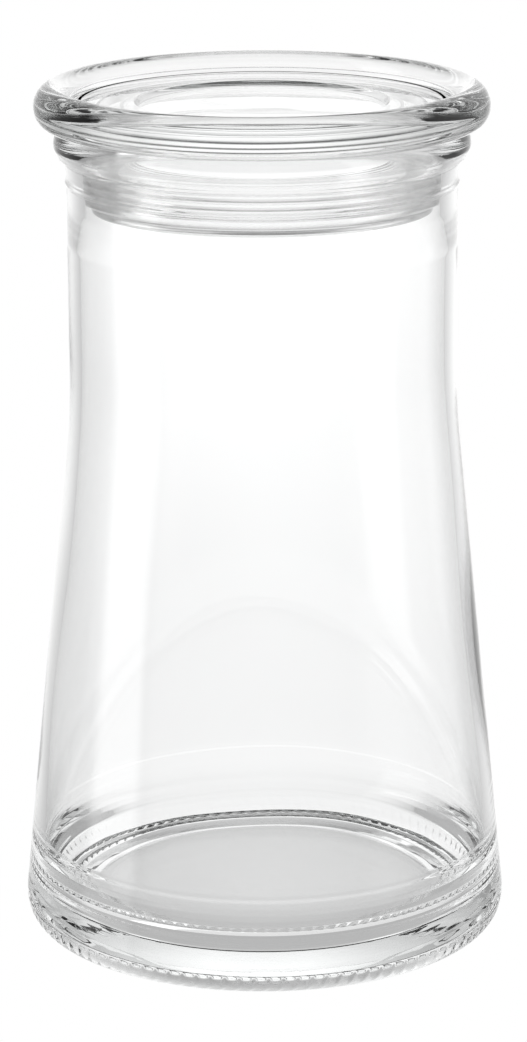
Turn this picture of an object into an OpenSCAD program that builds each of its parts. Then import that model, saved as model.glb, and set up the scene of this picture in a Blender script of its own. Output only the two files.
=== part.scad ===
// Flared glass storage jar with a flat glass stopper lid and a finned seal ring.
// Every piece is a body of revolution about Z. The jar stands on Z = 0.

/* [Jar] */
// Largest outside diameter, just above the heel
base_d = 143.7; // [136:0.1:150]
// Outside diameter of the straight upper part
neck_d = 112.6; // [111:0.1:116]
// Height at which the cone would meet the straight part
cone_top_z = 158.6; // [140:0.1:170]
// Radius that blends the cone into the straight part
shoulder_r = 250; // [120:1:300]
// Wall thickness of the body
wall = 3.7; // [3:0.1:4.2]
// Height of the mouth rim above the table
mouth_z = 238.6; // [236:0.1:240]
// Diameter of the mouth bore that the seal slides in
bore_d = 102; // [100:0.1:103]
// Depth of the straight mouth bore below the rim
bore_depth = 24; // [22:0.1:28]
// Outside diameter of the rounded bead round the mouth
bead_d = 119.6; // [118:0.1:121]

/* [Base] */
// Outside diameter of the ring that the jar stands on
foot_d = 136.8; // [132:0.1:138]
// Width of the ring that the jar stands on
foot_w = 4.2; // [3:0.1:6]
// Height of the rounded heel
heel_h = 7; // [5:0.1:9]
// Height of the hollow under the base at its centre
push_up = 4.5; // [3:0.1:5]
// Height of the hollow under the base at its edge
push_up_edge = 2.6; // [1.5:0.1:2.9]
// Height of the inside floor where it meets the corner
floor_z = 7; // [6.6:0.1:9]
// Rise of the inside floor at its centre
floor_rise = 3; // [1:0.1:4]

/* [Lid] */
// Outside diameter of the lid
lid_d = 130.6; // [126:0.1:134]
// Height of the lid's rim crest above its underside
lid_h = 11.8; // [11:0.1:14]
// Radius of the rim's crest
crest_r = 59.5; // [58.5:0.1:60.5]
// Radius at the foot of the rim's inner slope
dish_r = 54.8; // [53:0.1:56]
// Thickness of the lid's flat top
top_t = 6.6; // [6:0.1:7.5]
// Radius of the round recess in the middle of the top
recess_r = 36.4; // [30:0.1:38]
// Depth of the round recess
recess_depth = 1.8; // [1:0.1:2.5]

/* [Plug] */
// Outside diameter of the hollow plug under the lid
plug_d = 93; // [92:0.1:94]
// Inside diameter of the hollow plug at its top
plug_bore_d = 81; // [76:0.1:83]
// Depth of the plug below the lid's underside
plug_depth = 23.2; // [22:0.1:23.5]
// Diameter of the collar that holds the seal on the plug
collar_d = 98.4; // [97:0.1:99]
// Height of the collar
collar_h = 2.4; // [2:0.1:3]

/* [Seal] */
// Thickness of the seal's sleeve
sleeve_t = 1.6; // [1.2:0.1:2]
// Height of the seal
seal_h = 12; // [11.5:0.1:14]
// Number of thin sealing fins
fin_count = 3; // [2:1:3]
// Distance from one fin to the next
fin_pitch = 2.4; // [2:0.1:2.6]
// Height of the thick lip under the fins
lip_h = 3.2; // [2.5:0.1:4]

/* [Hidden] */
$fn = 96;

// Steps along each rounded stretch of an outline
ARC_STEPS = 10;
// Steps along the long shoulder blend
SHOULDER_STEPS = 8;
// Gap between two glass faces that rest on each other
REST_GAP = 0.05;
// Radial gap of the seal on the plug and in the bore
FIT_GAP = 0.05;
// Gap above and below the seal in its groove
END_GAP = 0.3;

neck_r = neck_d / 2;
bore_r = bore_d / 2;
heel_r = foot_d / 2;
heel_w = base_d / 2 - heel_r;
cone_angle = atan((base_d - neck_d) / 2 / (cone_top_z - heel_h));
// Where the rounded heel runs into the cone without a corner
heel_end = atan(tan(cone_angle) * heel_h / heel_w);

// Bead round the mouth
bead_rx = 3.6;
bead_below = 4.4;
bead_above = 5;
bead_z = mouth_z - bead_above;
mouth_round = 2.4;
bead_neck_r = neck_r + 0.5;
bead_root_z = bead_z - bead_below + 0.3;
// Low ridge where the mouth tooling met the body mould
seam_z = mouth_z - 16;
seam_rise = 0.35;
seam_half = 0.8;

// Inside corner of the jar, where the glass thickens towards the base
corner_rx = 17;
corner_ry = 19;
corner_z = floor_z + corner_ry;
inner_neck_r = neck_r - wall;
bore_end_z = mouth_z - bore_depth;
bore_blend = 10;
push_up_r = heel_r - foot_w - 5.2;
// Low ring inside, just above where the corner begins
ring_rise = 0.12;
ring_half = 1;
ring_z = corner_z + 1.2 * ring_half;

// Lid
seat_z = mouth_z + REST_GAP;
lid_r = lid_d / 2;
crest_z = seat_z + lid_h;
rim_mid_z = seat_z + 5.6;
rim_flat_r = 60.6;
top_z = seat_z + top_t;
recess_slope = 1.2;

// Plug and the groove that the seal sits in
plug_r = plug_d / 2;
plug_bore_r = plug_bore_d / 2;
plug_end_z = seat_z - plug_depth;
plug_draft = 0.8;
collar_r = collar_d / 2;
groove_z = plug_end_z + collar_h;
root_round = 1.5;

// Seal
seal_z = groove_z + END_GAP;
sleeve_in_r = plug_r + FIT_GAP;
sleeve_r = sleeve_in_r + sleeve_t;
fin_r = bore_r - FIT_GAP;
fin_root_t = 1.2;
fin_tip_t = 0.6;
fin_droop = 0.3;
first_fin_z = seal_z + lip_h + 2;

// Inside radius of the jar's cone at a height
function cone_in_r(z) = inner_neck_r + (cone_top_z - z) * tan(cone_angle);

// Points along a quarter or any other stretch of an oval
function oval(cx, cz, rx, rz, from, to, steps = ARC_STEPS) = [
    for (i = [0:steps])
        let (a = from + (to - from) * i / steps)
            [cx + rx * cos(a), cz + rz * sin(a)]
];

// The blend between a cone and the straight part above it, from bottom to top.
// grow moves the whole line outwards or, when negative, inwards.
function shoulder(radius, blend_r) =
    let (reach = blend_r * tan(cone_angle / 2))
        oval(radius + blend_r, cone_top_z + reach, blend_r, blend_r,
             180 + cone_angle, 180, SHOULDER_STEPS);

// Height along a shallow dome of the given rise and radius
function dome(radius, height, rise, steps = ARC_STEPS) = [
    for (i = [0:steps])
        let (a = 90 * i / steps)
            [radius * sin(a), height + rise * cos(a) * cos(a)]
];

module jar_outline() {
    polygon(concat(
        // hollow under the base, from the axis outwards
        dome(push_up_r, push_up_edge, push_up - push_up_edge),
        // standing ring, heel and cone
        [[heel_r - foot_w, 0]],
        oval(heel_r, heel_h, heel_w, heel_h, -90, heel_end),
        shoulder(neck_r, shoulder_r),
        // seam ridge and bead
        [
            [neck_r, seam_z - seam_half],
            [neck_r + seam_rise, seam_z],
            [neck_r + 0.1, seam_z + seam_half],
            [bead_neck_r, bead_root_z - 0.8]
        ],
        oval(bead_d / 2 - bead_rx, bead_z, bead_rx, bead_below, -70, 0),
        oval(bead_d / 2 - bead_rx, bead_z, bead_rx, bead_above, 9, 90),
        // mouth and bore
        oval(bore_r + mouth_round, mouth_z - mouth_round, mouth_round, mouth_round, 90, 180),
        [[bore_r, bore_end_z]],
        // inside wall, ring, corner and floor, back to the axis
        oval(bore_r, bore_end_z - bore_blend, inner_neck_r - bore_r, bore_blend, 60, 0, 4),
        reversed(shoulder(inner_neck_r, shoulder_r + wall)),
        [
            [cone_in_r(ring_z + ring_half), ring_z + ring_half],
            [cone_in_r(ring_z) - ring_rise, ring_z],
            [cone_in_r(ring_z - ring_half), ring_z - ring_half]
        ],
        oval(cone_in_r(corner_z) - corner_rx, corner_z, corner_rx, corner_ry, 0, -90),
        reversed(dome(cone_in_r(corner_z) - corner_rx - 2, floor_z, floor_rise))
    ));
}

// The same points in the opposite order
function reversed(points) = [for (i = [len(points) - 1:-1:0]) points[i]];

module lid_outline() {
    polygon(concat(
        // recess, flat top and the rim's inner slope
        [
            [0, top_z - recess_depth],
            [recess_r - recess_slope, top_z - recess_depth],
            [recess_r, top_z]
        ],
        oval(dish_r - 1, top_z + 1, 1.6, 1, -90, -40, 4),
        oval(crest_r, rim_mid_z, crest_r - dish_r, crest_z - rim_mid_z, 165, 90),
        // rounded outer edge, down to the flat underside
        oval(crest_r, rim_mid_z, lid_r - crest_r, crest_z - rim_mid_z, 81, 0),
        oval(rim_flat_r, rim_mid_z, lid_r - rim_flat_r, rim_mid_z - seat_z, -9, -90),
        // outside of the plug, with its collar
        oval(plug_r + root_round, seat_z - root_round, root_round, root_round, 90, 180, 4),
        [
            [plug_r, groove_z],
            [collar_r - 0.6, groove_z]
        ],
        oval(collar_r - 0.6, groove_z - 0.6, 0.6, 0.6, 80, 0, 3),
        oval(collar_r - 1, plug_end_z + 1, 1, 1, 0, -90, 4),
        // inside of the plug, back to the axis
        oval(plug_bore_r + plug_draft + 1.5, plug_end_z + 1.5, 1.5, 1.5, -90, -180, 4),
        oval(plug_bore_r - 3, seat_z - 3, 3, 3, 0, 90, 5),
        [[0, seat_z]]
    ));
}

// One sealing fin, which thins towards its tip and droops a little
module fin_outline(z) {
    polygon([
        [sleeve_r - 0.5, z - fin_root_t / 2],
        [fin_r, z - fin_tip_t / 2 - fin_droop],
        [fin_r, z + fin_tip_t / 2 - fin_droop],
        [sleeve_r - 0.5, z + fin_root_t / 2]
    ]);
}

module seal_outline() {
    union() {
        translate([sleeve_in_r, seal_z])
            square([sleeve_t, seal_h]);
        polygon([
            [sleeve_in_r, seal_z],
            [fin_r - 0.8, seal_z],
            [fin_r, seal_z + 0.9],
            [fin_r, seal_z + lip_h - 1.2],
            [sleeve_r, seal_z + lip_h],
            [sleeve_in_r, seal_z + lip_h]
        ]);
        for (i = [0:fin_count - 1])
            fin_outline(first_fin_z + i * fin_pitch);
    }
}

module jar() {
    color([0.93, 0.95, 0.95, 0.35])
        rotate_extrude()
            jar_outline();
}

module lid() {
    color([0.90, 0.93, 0.92, 0.40])
        rotate_extrude()
            lid_outline();
}

module seal_ring() {
    color([0.94, 0.94, 0.93, 0.70])
        rotate_extrude()
            seal_outline();
}

jar();
lid();
seal_ring();
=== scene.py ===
import math
import bpy
from mathutils import Euler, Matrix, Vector


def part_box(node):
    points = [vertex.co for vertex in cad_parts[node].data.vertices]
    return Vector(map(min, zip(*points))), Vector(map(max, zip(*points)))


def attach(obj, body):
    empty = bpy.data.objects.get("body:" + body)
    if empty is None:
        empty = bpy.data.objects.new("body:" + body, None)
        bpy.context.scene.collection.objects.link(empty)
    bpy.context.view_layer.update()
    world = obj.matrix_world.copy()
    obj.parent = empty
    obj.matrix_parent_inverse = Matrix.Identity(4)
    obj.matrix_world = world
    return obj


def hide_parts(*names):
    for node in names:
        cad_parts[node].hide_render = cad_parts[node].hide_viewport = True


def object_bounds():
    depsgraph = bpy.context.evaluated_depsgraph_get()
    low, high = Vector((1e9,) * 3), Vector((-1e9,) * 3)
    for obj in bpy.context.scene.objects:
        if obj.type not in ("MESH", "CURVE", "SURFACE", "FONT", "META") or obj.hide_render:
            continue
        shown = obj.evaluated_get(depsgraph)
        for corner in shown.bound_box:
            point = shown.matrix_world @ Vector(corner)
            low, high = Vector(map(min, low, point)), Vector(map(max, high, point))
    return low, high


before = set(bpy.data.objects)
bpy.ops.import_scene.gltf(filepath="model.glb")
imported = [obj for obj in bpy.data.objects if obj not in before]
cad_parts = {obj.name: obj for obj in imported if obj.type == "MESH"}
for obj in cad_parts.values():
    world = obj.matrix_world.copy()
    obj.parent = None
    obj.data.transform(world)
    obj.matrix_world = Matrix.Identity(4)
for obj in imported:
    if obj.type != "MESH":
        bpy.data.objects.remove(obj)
cad_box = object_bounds()

# ---------------------------------------------------------------- dimensions, in millimetres
MM = 0.001
jar_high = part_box("jar")[1]
lid_low, lid_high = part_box("lid")
seal_low, seal_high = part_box("seal_ring")

# Jar
base_r = 71.85
neck_r = 56.3
cone_top_z = 158.6
shoulder_r = 250.0
wall = 3.7
mouth_z = jar_high[2] / MM
bore_r = 51.0
bore_depth = 24.0
# Blend from the bore into the wall, and a height where the wall is straight below it
bore_blend = 10.0
bore_blend_r = 14.0
straight_z = 185.0
bead_r = 59.8
heel_r = 68.4
foot_w = 4.2
heel_h = 7.0
push_up = 4.5
push_up_r = 59.0
push_up_edge_z = 2.6
floor_z = 7.0
floor_rise = 3.0

# Bead and the low ridge under it
bead_rx = 3.6
bead_below = 4.4
bead_above = 5.0
mouth_round = 2.4
seam_below_mouth = 16.0
seam_rise = 0.35
seam_half = 0.8

# Crescent knurls round the heel, between two angles of its rounded section
knurl_count = 107
knurl_steps = 8
knurl_depth = 0.2
knurl_low = -72.0
knurl_high = -14.0
knurl_rings = 10
# Half width of a ridge and how far it leans at its foot, as shares of the pitch
knurl_ridge = 0.17
knurl_lean = 0.55

# Slow ripples in the inside of the wall, and how they fade out below the bore and above the floor
ripple_depth = 0.10
ripple_top = 12.0
ripple_top_fade = 40.0
ripple_low_z = 25.0
ripple_low_fade = 30.0

# Rounded inside corner of the jar
corner_rx = 17.0
corner_rz = 19.0
# Low ring inside, just above where the corner begins
corner_ring = 0.12
corner_ring_half = 1.0

# Lid
seat_z = mouth_z + 0.05
lid_r = 65.3
crest_z = lid_high[2] / MM
crest_r = 59.5
dish_r = 54.8
rim_mid_z = seat_z + 5.6
rim_flat_r = 60.6
top_z = seat_z + 6.6
recess_r = 36.4
recess_depth = 1.8
recess_slope = 0.7
# Fine groove at the foot of the rim's inner slope
dish_groove = 0.25

# Plug and collar
plug_r = 46.5
plug_bore_r = 40.5
plug_draft = 0.8
plug_end_z = lid_low[2] / MM
collar_r = 49.2
collar_h = 2.4

# Seal
seal_z = seal_low[2] / MM
seal_top_z = seal_high[2] / MM
sleeve_in_r = plug_r + 0.05
sleeve_r = sleeve_in_r + 1.6
fin_r = bore_r - 0.05
fin_count = 3
fin_pitch = 2.4
fin_half = 0.6
lip_h = 3.2

# Points round the lid and round the seal
lid_columns = 240
seal_columns = 192

cone_angle = math.atan2(base_r - neck_r, cone_top_z - heel_h)


# ---------------------------------------------------------------- outlines
def oval(cx, cz, rx, rz, start, end, steps):
    """Points along part of an oval, with the angles in degrees."""
    points = []
    for i in range(steps + 1):
        a = math.radians(start + (end - start) * i / steps)
        points.append((cx + rx * math.cos(a), cz + rz * math.sin(a)))
    return points


def corner(before, at, after, radius, steps=5):
    """The corner at the point between two others, rounded to a radius."""
    a, p, b = Vector(before), Vector(at), Vector(after)
    to_a, to_b = (a - p).normalized(), (b - p).normalized()
    half = to_a.angle(to_b) / 2
    reach = min(radius / math.tan(half), 0.45 * (a - p).length, 0.45 * (b - p).length)
    start, end = p + to_a * reach, p + to_b * reach
    centre = p + (to_a + to_b).normalized() * reach / math.cos(half)
    size = (start - centre).length
    points = []
    for i in range(steps + 1):
        t = i / steps
        arm = (start - centre).normalized().slerp((end - centre).normalized(), t)
        points.append(tuple(centre + arm * size))
    return points


def rounded(points, radius, steps=5):
    """A run of corners, each rounded, with its two ends left as they are."""
    out = [points[0]]
    for i in range(1, len(points) - 1):
        out += corner(points[i - 1], points[i], points[i + 1], radius, steps)
    return out + [points[-1]]


def shoulder(radius, blend_r, steps=18):
    """The blend of a cone into the straight part above it, from bottom to top."""
    reach = blend_r * math.tan(cone_angle / 2)
    turn = math.degrees(cone_angle)
    return oval(radius + blend_r, cone_top_z + reach, blend_r, blend_r, 180 + turn, 180, steps)


def dome(radius, height, rise, steps=14):
    """A shallow dome, from the axis outwards."""
    points = []
    for i in range(steps + 1):
        r = radius * i / steps
        points.append((r, height + rise * (1 - (i / steps) ** 2)))
    return points


def refined(points, longest=5.0, guard=0.3):
    """The outline with no doubled points, with long stretches divided and held flat by guard points."""
    clean = [points[0]]
    for p in points[1:]:
        if (Vector(p) - Vector(clean[-1])).length > 0.01:
            clean.append(p)
    out = [clean[0]]
    for a, b in zip(clean, clean[1:]):
        va, vb = Vector(a), Vector(b)
        length = (vb - va).length
        if length > 4 * guard:
            step = (vb - va) / length
            cuts = max(1, math.ceil((length - 2 * guard) / longest))
            for i in range(cuts + 1):
                out.append(tuple(va + step * (guard + (length - 2 * guard) * i / cuts)))
        out.append(b)
    return out


def heel_arc(start, end, steps):
    """Part of the jar's rounded heel."""
    return oval(heel_r, heel_h, base_r - heel_r, heel_h, start, end, steps)


def jar_outer():
    """The underside and foot up to the knurls, and the heel, cone, neck and bead above them."""
    bead_x = bead_r - bead_rx
    bead_z = mouth_z - bead_above
    seam_z = mouth_z - seam_below_mouth
    heel_end = math.degrees(math.atan(math.tan(cone_angle) * heel_h / (base_r - heel_r)))
    foot_in = heel_r - foot_w
    under = dome(push_up_r, push_up_edge_z, push_up - push_up_edge_z)
    under = under[:-1] + corner(under[-2], under[-1], (foot_in, 0), 2)
    under += corner(under[-1], (foot_in, 0), (heel_r, 0), 1)
    under += heel_arc(-90, knurl_low, 3)
    heel = heel_arc(knurl_high, heel_end, 6)
    seam = rounded([
        (neck_r, seam_z - 4),
        (neck_r, seam_z - seam_half),
        (neck_r + seam_rise, seam_z),
        (neck_r + 0.1, seam_z + seam_half),
        (neck_r + 0.5, bead_z - bead_below - 0.5),
        (bead_x + 1.2, bead_z - bead_below + 0.3),
    ], 0.8, 4)[:-1]
    bead = oval(bead_x, bead_z, bead_rx, bead_below, -70, 0, 10)
    bead += oval(bead_x, bead_z, bead_rx, bead_above, 9, 90, 10)
    return under, heel + shoulder(neck_r, shoulder_r) + seam + bead


def jar_inner():
    """From the top of the mouth, down the bore and the wall to the centre of the floor."""
    in_r = neck_r - wall
    corner_z = floor_z + corner_rz
    cone_r = in_r + (cone_top_z - corner_z) * math.tan(cone_angle)
    bore_end = mouth_z - bore_depth
    mouth = oval(bore_r + mouth_round, mouth_z - mouth_round, mouth_round, mouth_round, 90, 180, 8)
    bore = rounded([
        (bore_r, bore_end + 6),
        (bore_r, bore_end),
        (in_r, bore_end - bore_blend),
        (in_r, straight_z),
    ], bore_blend_r, 8)
    side = list(reversed(shoulder(in_r, shoulder_r + wall)))
    for t in (1.0, 0.6, 0.25, 0.0, -0.25, -0.6, -1.0):
        z = corner_z + (t + 1.2) * corner_ring_half
        r = cone_r - (z - corner_z) * math.tan(cone_angle)
        side.append((r - corner_ring * (1 - t * t) ** 2, z))
    turn = oval(cone_r - corner_rx, corner_z, corner_rx, corner_rz, 0, -90, 16)
    floor = list(reversed(dome(cone_r - corner_rx - 2, floor_z, floor_rise)))
    return mouth + bore + side + turn + floor


def lid_outline():
    """From the centre of the top, over the rim, round the plug and back to the centre below."""
    top = rounded([
        (0, top_z - recess_depth),
        (recess_r - recess_slope, top_z - recess_depth),
        (recess_r, top_z),
        (dish_r - 2, top_z),
    ], 0.35, 5)
    foot = rounded([
        (dish_r - 3, top_z),
        (dish_r - 2, top_z),
        (dish_r - 1, top_z - dish_groove),
        (dish_r - 0.2, top_z + 0.4),
        (dish_r + 0.1, top_z + 1),
    ], 0.3, 4)
    slope = oval(crest_r, rim_mid_z, crest_r - dish_r, crest_z - rim_mid_z, 165, 90, 14)
    edge = oval(crest_r, rim_mid_z, lid_r - crest_r, crest_z - rim_mid_z, 83, 0, 14)
    edge += oval(rim_flat_r, rim_mid_z, lid_r - rim_flat_r, rim_mid_z - seat_z, -7, -90, 14)
    groove_z = plug_end_z + collar_h
    plug = rounded([
        (rim_flat_r - 0.5, seat_z),
        (plug_r, seat_z),
        (plug_r, groove_z),
        (collar_r, groove_z),
        (collar_r, plug_end_z),
        (plug_bore_r + plug_draft, plug_end_z),
        (plug_bore_r, seat_z),
        (0, seat_z),
    ], 1.0, 6)
    return top + foot + slope + edge + plug


def seal_outline():
    """The seal's closed section, from the bottom of its inner face and round."""
    points = [
        (sleeve_in_r, seal_z),
        (fin_r - 0.8, seal_z),
        (fin_r, seal_z + 0.9),
        (fin_r, seal_z + lip_h - 1.2),
        (sleeve_r, seal_z + lip_h),
    ]
    for i in range(fin_count):
        z = seal_z + lip_h + 2 + i * fin_pitch
        points.append((sleeve_r, z - fin_half))
        points.append((fin_r, z - fin_half))
        points.append((fin_r, z))
        points.append((sleeve_r, z + fin_half))
    points.append((sleeve_r, seal_top_z))
    points.append((sleeve_in_r, seal_top_z))
    out = []
    for i in range(len(points)):
        out += corner(points[i - 1], points[i], points[(i + 1) % len(points)], 0.22, 3)
    return out


# ---------------------------------------------------------------- meshes
def new_object(name, verts, faces, material, body):
    """A smooth mesh object in metres that rides on a CAD body."""
    mesh = bpy.data.meshes.new(name)
    mesh.from_pydata([(x * MM, y * MM, z * MM) for x, y, z in verts], [], faces)
    mesh.validate()
    mesh.shade_smooth()
    mesh.materials.append(material)
    obj = bpy.data.objects.new(name, mesh)
    bpy.context.scene.collection.objects.link(obj)
    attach(obj, body)
    return obj


def ring(verts, r, z, columns, shift=None):
    """Adds one ring of points and returns their numbers, or one point on the axis."""
    first = len(verts)
    if r < 1e-6:
        verts.append((0.0, 0.0, z))
        return [first]
    for i in range(columns):
        a = 2 * math.pi * i / columns
        rr, zz = (r, z) if shift is None else shift(r, z, a)
        verts.append((rr * math.cos(a), rr * math.sin(a), zz))
    return list(range(first, len(verts)))


def join_rings(faces, low, high):
    """Faces between two neighbouring rings, whose numbers of points may differ by a whole factor."""
    if len(low) == 1 and len(high) == 1:
        return
    if len(low) == 1:
        n = len(high)
        faces += [(low[0], high[(i + 1) % n], high[i]) for i in range(n)]
    elif len(high) == 1:
        n = len(low)
        faces += [(low[i], low[(i + 1) % n], high[0]) for i in range(n)]
    elif len(low) >= len(high):
        n, k = len(high), len(low) // len(high)
        for i in range(n):
            fine = [low[(i * k + j) % len(low)] for j in range(k + 1)]
            faces.append(tuple(fine + [high[(i + 1) % n], high[i]]))
    else:
        n, k = len(low), len(high) // len(low)
        for i in range(n):
            fine = [high[(i * k + j) % len(high)] for j in range(k, -1, -1)]
            faces.append(tuple([low[i], low[(i + 1) % n]] + fine))


def ripple(r, z, a):
    """Slow unevenness that the mould's cooling leaves in the inside of a glass wall."""
    wave = math.sin(2 * a + z / 31)
    wave += 0.7 * math.sin(3 * a - z / 23 + 1.3)
    wave += 0.4 * math.sin(7 * a + z / 17)
    top = mouth_z - bore_depth - ripple_top
    below_bore = min(1.0, max(0.0, (top - z) / ripple_top_fade))
    above_floor = min(1.0, max(0.0, (z - ripple_low_z) / ripple_low_fade))
    return r + ripple_depth * wave * below_bore * above_floor, z


def knurl_band(verts, columns):
    """The rings of the knurled part of the heel, where the glass dips between curved ridges."""
    rings = []
    for i, (r, z) in enumerate(heel_arc(knurl_low, knurl_high, knurl_rings)):
        t = i / knurl_rings
        fade = min(1.0, 5 * t, 5 * (1 - t))
        lean = knurl_lean * (1 - t) ** 2

        def dip(r, z, a):
            place = (a * knurl_count / (2 * math.pi) + lean) % 1.0 - 0.5
            depth = knurl_depth * fade * (1 - math.exp(-(place / knurl_ridge) ** 2))
            arm = Vector((r - heel_r, z - heel_h))
            arm *= 1 - depth / arm.length
            return heel_r + arm.x, heel_h + arm.y

        rings.append(ring(verts, r, z, columns, dip))
    return rings


def build_jar(material):
    """The glass vessel, as one closed skin round the outside and the inside."""
    under, outer = jar_outer()
    columns = 2 * knurl_count
    fine = knurl_count * knurl_steps
    verts, faces, rings = [], [], []
    for r, z in refined(under):
        rings.append(ring(verts, r, z, columns))
    rings = rings[:-1] + knurl_band(verts, fine)
    for r, z in refined(outer)[1:]:
        rings.append(ring(verts, r, z, columns))
    for r, z in refined(jar_inner())[1:]:
        rings.append(ring(verts, r, z, columns, ripple))
    for low, high in zip(rings, rings[1:]):
        join_rings(faces, low, high)
    obj = new_object("jar_glass_body", verts, faces, material, "jar")
    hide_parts("jar")


def build_lid(material):
    """The glass lid with its hollow plug."""
    verts, faces = [], []
    points = list(reversed(refined(lid_outline())))
    rings = [ring(verts, r, z, lid_columns) for r, z in points]
    for low, high in zip(rings, rings[1:]):
        join_rings(faces, low, high)
    obj = new_object("lid_glass_disc", verts, faces, material, "lid")
    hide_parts("lid")


def build_seal(material):
    """The clear ring with its lip and fins."""
    verts, faces = [], []
    points = seal_outline()
    closed = refined(points + [points[0]])[:-1]
    rings = [ring(verts, r, z, seal_columns) for r, z in closed]
    for i in range(len(rings)):
        join_rings(faces, rings[i], rings[(i + 1) % len(rings)])
    obj = new_object("seal_ring_soft", verts, faces, material, "seal_ring")
    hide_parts("seal_ring")


# ---------------------------------------------------------------- materials
def new_material(name):
    """A material with its nodes, its links and its main shader."""
    mat = bpy.data.materials.new(name)
    mat.use_nodes = True
    return mat, mat.node_tree.nodes, mat.node_tree.links, mat.node_tree.nodes["Principled BSDF"]


def noise(nodes, links, scale, detail, stretch=(1, 1, 1)):
    """Noise that follows the piece's own coordinates, stretched along its axes."""
    coords = nodes.new("ShaderNodeTexCoord")
    mapping = nodes.new("ShaderNodeMapping")
    mapping.inputs["Scale"].default_value = stretch
    tex = nodes.new("ShaderNodeTexNoise")
    tex.inputs["Scale"].default_value = scale
    tex.inputs["Detail"].default_value = detail
    links.new(coords.outputs["Object"], mapping.inputs["Vector"])
    links.new(mapping.outputs["Vector"], tex.inputs["Vector"])
    return tex


def map_range(nodes, links, source, low, high):
    """The middle of a noise spread over a range of values."""
    node = nodes.new("ShaderNodeMapRange")
    node.inputs["From Min"].default_value = 0.3
    node.inputs["From Max"].default_value = 0.7
    node.inputs["To Min"].default_value = low
    node.inputs["To Max"].default_value = high
    links.new(source, node.inputs["Value"])
    return node.outputs["Result"]


def bump(nodes, links, height, strength, distance):
    """A shading normal from a height."""
    node = nodes.new("ShaderNodeBump")
    node.inputs["Strength"].default_value = strength
    node.inputs["Distance"].default_value = distance
    links.new(height, node.inputs["Height"])
    return node.outputs["Normal"]


def glass(name, tint, absorb, density, wave_scale, wave_depth):
    """Clear glass with a fire-polished, very slightly wavy skin and a faint tint where it is thick."""
    mat, nodes, links, shader = new_material(name)
    shader.inputs["Base Color"].default_value = (*tint, 1)
    shader.inputs["IOR"].default_value = 1.5
    shader.inputs["Transmission Weight"].default_value = 1.0
    skin = noise(nodes, links, wave_scale, 2.0, (1, 1, 0.35))
    links.new(map_range(nodes, links, skin.outputs["Fac"], 0.0, 0.012), shader.inputs["Roughness"])
    links.new(bump(nodes, links, skin.outputs["Fac"], 1.0, wave_depth), shader.inputs["Normal"])
    volume = nodes.new("ShaderNodeVolumeAbsorption")
    volume.inputs["Color"].default_value = (*absorb, 1)
    volume.inputs["Density"].default_value = density
    links.new(volume.outputs["Volume"], nodes["Material Output"].inputs["Volume"])
    return mat


def silicone(name):
    """Clear soft silicone: see-through, slightly milky and satin."""
    mat, nodes, links, shader = new_material(name)
    shader.inputs["Base Color"].default_value = (0.985, 0.985, 0.985, 1)
    shader.inputs["IOR"].default_value = 1.41
    shader.inputs["Transmission Weight"].default_value = 1.0
    haze = noise(nodes, links, 140.0, 3.0)
    links.new(map_range(nodes, links, haze.outputs["Fac"], 0.03, 0.12), shader.inputs["Roughness"])
    links.new(bump(nodes, links, haze.outputs["Fac"], 0.3, 0.0001), shader.inputs["Normal"])
    return mat


# ---------------------------------------------------------------- stage
# Brightness of the studio round the jar, by degrees to the right of straight behind it
ROUND_THE_JAR = [
    (-180, 0.62), (-150, 0.56), (-122, 0.45), (-115, 0.25), (-111, 1.30), (-86, 1.30), (-80, 0.25),
    (-60, 0.36), (-36, 0.54), (-20, 0.78), (-8, 0.97), (10, 0.99), (22, 0.82), (36, 0.62), (50, 0.42),
    (60, 0.64), (120, 0.64), (134, 0.50), (150, 0.56), (180, 0.62),
]
# Brightness by degrees above the horizon
BY_HEIGHT = [
    (-90, 0.90), (-40, 1.00), (-29, 1.02), (-23, 1.03), (-19, 1.00), (-17, 1.04), (-14, 1.13),
    (-10, 1.18), (20, 1.15), (42, 0.75), (60, 0.50), (90, 0.45),
]
# Least brightness by degrees above the horizon, for the pale table that the jar stands on
TABLE = [(-90, 0.80), (-35, 0.80), (-22, 0.35), (-5, 0.0), (90, 0.0)]
# Painted shadow under the jar: brightness of a glowing disc on the table right under the jar, darker
# towards its edge, and how far out it reaches
PAINTED_SHADOW = [(0.0, 0.62), (35.0, 0.57), (52.0, 0.48), (68.0, 0.48)]
# How far the floor and the painted-shadow disc lie below the jar, and half the floor's width, in metres
FLOOR_GAP = 0.0002
SHADE_GAP = 0.0001
FLOOR_HALF = 6.0


def math_node(nodes, links, operation, first, second=None):
    """One sum on a socket and a number or another socket."""
    node = nodes.new("ShaderNodeMath")
    node.operation = operation
    links.new(first, node.inputs[0])
    if isinstance(second, (int, float)):
        node.inputs[1].default_value = second
    elif second is not None:
        links.new(second, node.inputs[1])
    return node.outputs[0]


def tone_ramp(nodes, links, value, stops):
    """A brightness read from a list of (value, brightness), stored halved so that it may pass 1."""
    low, high = stops[0][0], stops[-1][0]
    place = nodes.new("ShaderNodeMapRange")
    place.inputs["From Min"].default_value = low
    place.inputs["From Max"].default_value = high
    links.new(value, place.inputs["Value"])
    ramp = nodes.new("ShaderNodeValToRGB")
    marks = ramp.color_ramp.elements
    for at, tone in stops[1:-1]:
        marks.new((at - low) / (high - low))
    for mark, (at, tone) in zip(marks, stops):
        mark.color = (tone / 2, tone / 2, tone / 2, 1)
    links.new(place.outputs["Result"], ramp.inputs["Fac"])
    return math_node(nodes, links, "MULTIPLY", ramp.outputs["Color"], 2.0)


def tone_by_angle(nodes, links, radians, stops):
    """A brightness read from a list of (degrees, brightness)."""
    return tone_ramp(nodes, links, radians, [(math.radians(angle), tone) for angle, tone in stops])


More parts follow.
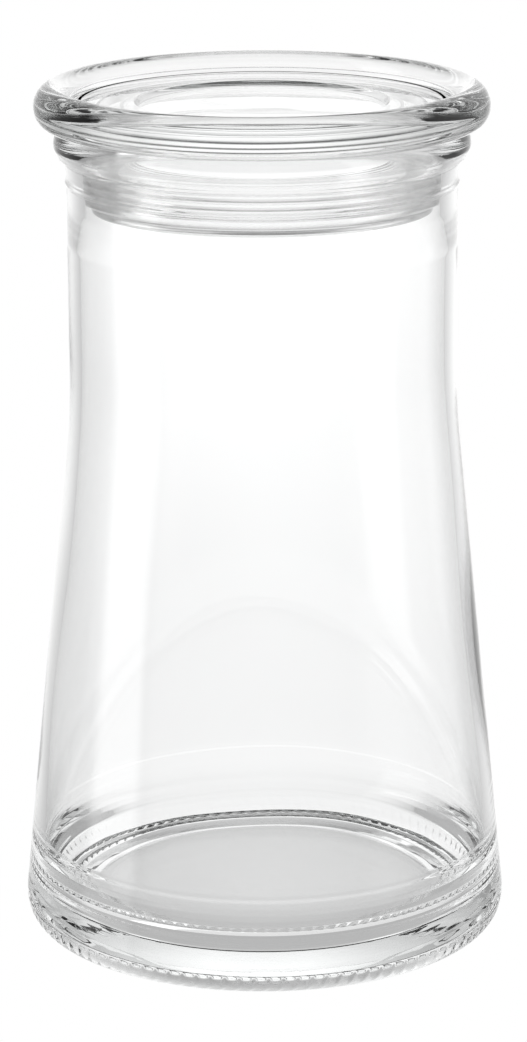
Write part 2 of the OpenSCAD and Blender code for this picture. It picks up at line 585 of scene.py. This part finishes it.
def build_world():
    """A studio whose brightness depends on the direction, and which is plain white to the camera."""
    world = bpy.data.worlds.new("studio")
    bpy.context.scene.world = world
    world.use_nodes = True
    nodes, links = world.node_tree.nodes, world.node_tree.links
    split = nodes.new("ShaderNodeSeparateXYZ")
    links.new(nodes.new("ShaderNodeTexCoord").outputs["Generated"], split.inputs["Vector"])
    turn = math_node(nodes, links, "ARCTAN2", split.outputs["X"], split.outputs["Y"])
    rise = math_node(nodes, links, "ARCSINE", split.outputs["Z"])
    around = tone_by_angle(nodes, links, turn, ROUND_THE_JAR)
    height = tone_by_angle(nodes, links, rise, BY_HEIGHT)
    lights = math_node(nodes, links, "MULTIPLY", around, height)
    tone = math_node(nodes, links, "MAXIMUM", lights, tone_by_angle(nodes, links, rise, TABLE))
    path = nodes.new("ShaderNodeLightPath")
    plain = math_node(nodes, links, "MAXIMUM", tone, path.outputs["Is Camera Ray"])
    links.new(plain, nodes["Background"].inputs["Strength"])
    nodes["Background"].inputs["Color"].default_value = (1, 1, 1, 1)


def build_floor():
    """A plain pale floor. Glass doesn't see it, because the studio's lights reach below the jar."""
    mesh = bpy.data.meshes.new("floor")
    half = FLOOR_HALF
    corners = [(-half, -half, 0), (half, -half, 0), (half, half, 0), (-half, half, 0)]
    mesh.from_pydata(corners, [], [(0, 1, 2, 3)])
    obj = bpy.data.objects.new("floor", mesh)
    obj.location.z = cad_box[0][2] - FLOOR_GAP
    bpy.context.scene.collection.objects.link(obj)
    mat = bpy.data.materials.new("floor_white")
    mat.use_nodes = True
    nodes, links = mat.node_tree.nodes, mat.node_tree.links
    nodes.remove(nodes["Principled BSDF"])
    glow = nodes.new("ShaderNodeEmission")
    clear = nodes.new("ShaderNodeBsdfTransparent")
    path = nodes.new("ShaderNodeLightPath")
    mix = nodes.new("ShaderNodeMixShader")
    links.new(path.outputs["Is Camera Ray"], mix.inputs["Fac"])
    links.new(clear.outputs["BSDF"], mix.inputs[1])
    links.new(glow.outputs["Emission"], mix.inputs[2])
    links.new(mix.outputs["Shader"], nodes["Material Output"].inputs["Surface"])
    mesh.materials.append(mat)


def build_painted_shadow():
    """Painted shadow: a glowing disc on the table right under the jar, dimmer towards its edge,
    standing in for the shade where less light gets to. It is seen only through the glass.
    """
    verts, faces = [], []
    centre = ring(verts, 0.0, 0.0, 1)
    edge = ring(verts, PAINTED_SHADOW[-1][0], 0.0, 96)
    join_rings(faces, centre, edge)
    mesh = bpy.data.meshes.new("floor_painted_shadow")
    mesh.from_pydata([(x * MM, y * MM, z * MM) for x, y, z in verts], [], faces)
    obj = bpy.data.objects.new("floor_painted_shadow", mesh)
    obj.location.z = cad_box[0][2] - SHADE_GAP
    bpy.context.scene.collection.objects.link(obj)
    mat = bpy.data.materials.new("floor_painted_shadow")
    mat.use_nodes = True
    nodes, links = mat.node_tree.nodes, mat.node_tree.links
    nodes.remove(nodes["Principled BSDF"])
    glow = nodes.new("ShaderNodeEmission")
    spot = nodes.new("ShaderNodeVectorMath")
    spot.operation = "LENGTH"
    links.new(nodes.new("ShaderNodeTexCoord").outputs["Object"], spot.inputs[0])
    stops = [(r * MM, tone) for r, tone in PAINTED_SHADOW]
    # Painted shadow: the disc's glow is read from the table of tones by its distance from the centre,
    # dimmer towards the edge
    links.new(tone_ramp(nodes, links, spot.outputs["Value"], stops), glow.inputs["Strength"])
    links.new(glow.outputs["Emission"], nodes["Material Output"].inputs["Surface"])
    mesh.materials.append(mat)


def build_camera():
    """A long lens that looks down a little at the middle of the jar."""
    data = bpy.data.cameras.new("camera")
    data.sensor_width = 36.0
    data.lens = 124.3
    data.clip_start = 0.05
    obj = bpy.data.objects.new("camera", data)
    obj.location = (0.0, -1.02, 0.4133)
    down = math.radians(16.03)
    roll = math.radians(-0.213)
    facing = Euler((math.pi / 2 - down, 0, 0)).to_matrix()
    obj.rotation_euler = (facing @ Euler((0, 0, roll)).to_matrix()).to_euler()
    bpy.context.scene.collection.objects.link(obj)
    bpy.context.scene.camera = obj


jar_glass = glass("jar_glass", (0.99, 0.992, 0.992), (0.75, 0.85, 0.83), 0.8, 9.0, 0.0003)
lid_glass = glass("lid_glass", (0.99, 0.99, 0.99), (0.70, 0.74, 0.72), 2.0, 14.0, 0.0003)
build_jar(jar_glass)
build_lid(lid_glass)
build_seal(silicone("seal_silicone"))
build_floor()
build_painted_shadow()
build_world()
build_camera()

scene = bpy.context.scene
scene.view_settings.view_transform = "Standard"
scene.cycles.max_bounces = 32
scene.cycles.transmission_bounces = 32
scene.cycles.glossy_bounces = 12
